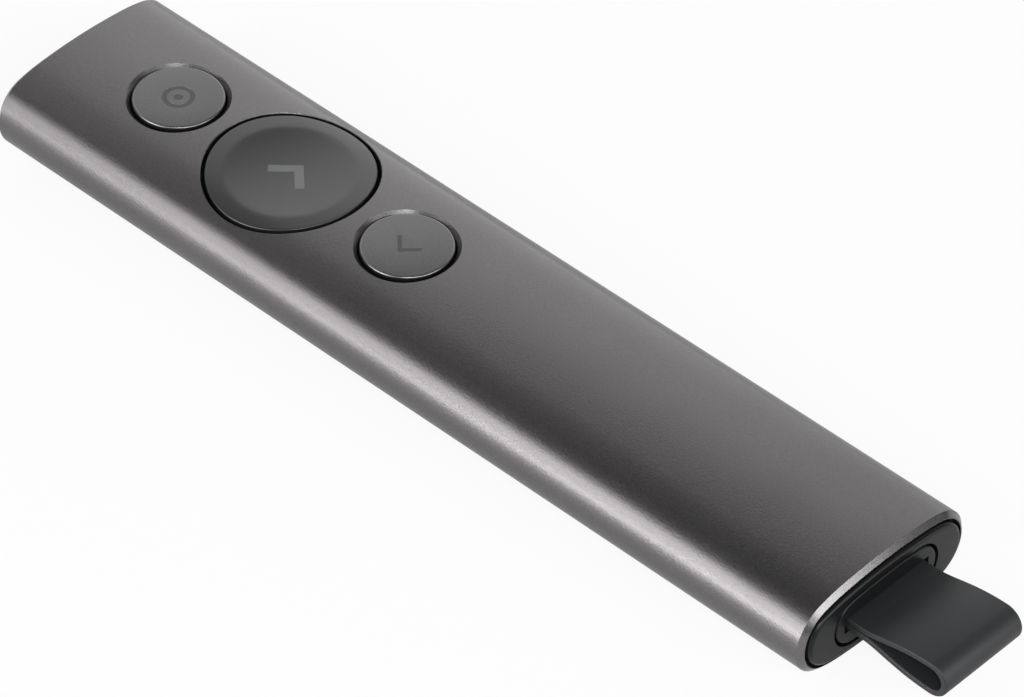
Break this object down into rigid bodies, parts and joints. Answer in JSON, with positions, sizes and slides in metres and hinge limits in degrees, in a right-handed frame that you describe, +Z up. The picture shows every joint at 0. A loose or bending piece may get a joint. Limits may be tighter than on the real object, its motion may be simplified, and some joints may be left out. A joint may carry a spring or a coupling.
{
  "type": "wireless presentation clicker",
  "caption": "Slim handheld presentation clicker: lens-section aluminium sleeve, round control buttons and a plug-in receiver with a rubber pull strap at the tail.",
  "frame": {"origin": "centre of the narrow flat on the underside that the clicker rests on, below the middle of the shell", "axes": "+X across the width, +Y along the length towards the nose (the pointer button's end), +Z up through the buttons; the receiver leaves towards -Y"},
  "size_m": [0.0284, 0.1471, 0.0119],
  "materials": {
    "shell_metal": "graphite anodised, fine bead-blasted satin",
    "button_metal": "graphite anodised, fine bead-blasted satin, turned edge",
    "button_plastic": "fine matt moulding",
    "end_plastic": "satin moulding",
    "dock_plastic": "satin moulding",
    "chassis_plastic": "plain moulding",
    "stem_plastic": "plain moulding",
    "insulator_plastic": "plain moulding",
    "strap_rubber": "smooth matt rubber",
    "foam": "closed-cell foam",
    "plug_steel": "nickel-plated steel",
    "spring_steel": "bright steel",
    "weight_metal": "sintered tungsten look",
    "contact_gold": "gold flash",
    "board_green": "solder mask",
    "chip_plastic": "moulded package",
    "ceramic": "fired ceramic",
    "battery_foil": "laminated foil pouch",
    "flex_film": "polyimide film"
  },
  "bodies": {
    "housing": {"outer_shell": "shell_metal", "front_cap": "end_plastic", "rear_cap": "end_plastic", "receiver_dock": "dock_plastic", "dock_springs": "spring_steel", "charge_socket_shell": "plug_steel", "charge_socket_tongue": "insulator_plastic", "charge_socket_contacts": "contact_gold", "inner_chassis": "chassis_plastic", "main_board": "board_green", "board_screws": "spring_steel", "shield_can": "plug_steel", "radio_chip": "chip_plastic", "charger_chip": "chip_plastic", "motion_sensor": "chip_plastic", "antenna": "ceramic", "chip_capacitors": "ceramic", "battery_pad": "foam", "battery_cell": "battery_foil", "battery_protection_board": "board_green", "battery_flex": "flex_film", "battery_connector": "insulator_plastic", "motor_can": "plug_steel", "motor_cradle": "strap_rubber", "pointer_switch": "chip_plastic", "next_switch": "chip_plastic", "back_switch": "chip_plastic"},
    "pointer_button": {"pointer_cap": "button_metal", "pointer_carrier": "chassis_plastic", "pointer_switch_stem": "stem_plastic"},
    "next_button": {"next_cap": "button_plastic", "next_carrier": "chassis_plastic", "next_switch_stem": "stem_plastic"},
    "back_button": {"back_cap": "button_metal", "back_carrier": "chassis_plastic", "back_switch_stem": "stem_plastic"},
    "receiver": {"receiver_housing": "end_plastic", "receiver_front": "dock_plastic", "receiver_board": "board_green", "receiver_chip": "chip_plastic", "plug_shell": "plug_steel", "plug_insulator": "insulator_plastic", "plug_contacts": "contact_gold", "strap_pin": "spring_steel", "pull_strap": "strap_rubber"},
    "motor_rotor": {"motor_shaft": "spring_steel", "motor_weight": "weight_metal"}
  },
  "joints": [
    {"name": "pointer_press", "type": "slide", "parent": "housing", "child": "pointer_button", "axis": [0, 0, -1], "range_m": [0, 0.0003], "stiffness_N_per_m": 1500, "springref_m": -0.0004},
    {"name": "next_press", "type": "slide", "parent": "housing", "child": "next_button", "axis": [0, 0, -1], "range_m": [0, 0.0003], "stiffness_N_per_m": 1500, "springref_m": -0.0004},
    {"name": "back_press", "type": "slide", "parent": "housing", "child": "back_button", "axis": [0, 0, -1], "range_m": [0, 0.0003], "stiffness_N_per_m": 1500, "springref_m": -0.0004},
    {"name": "receiver_pull", "type": "slide", "parent": "housing", "child": "receiver", "axis": [0, -1, 0], "range_m": [0, 0.03]},
    {"name": "motor_spin", "type": "hinge", "parent": "housing", "child": "motor_rotor", "pos_m": [0, 0.04706, 0.00436], "axis": [0, 1, 0], "continuous": true}
  ]
}
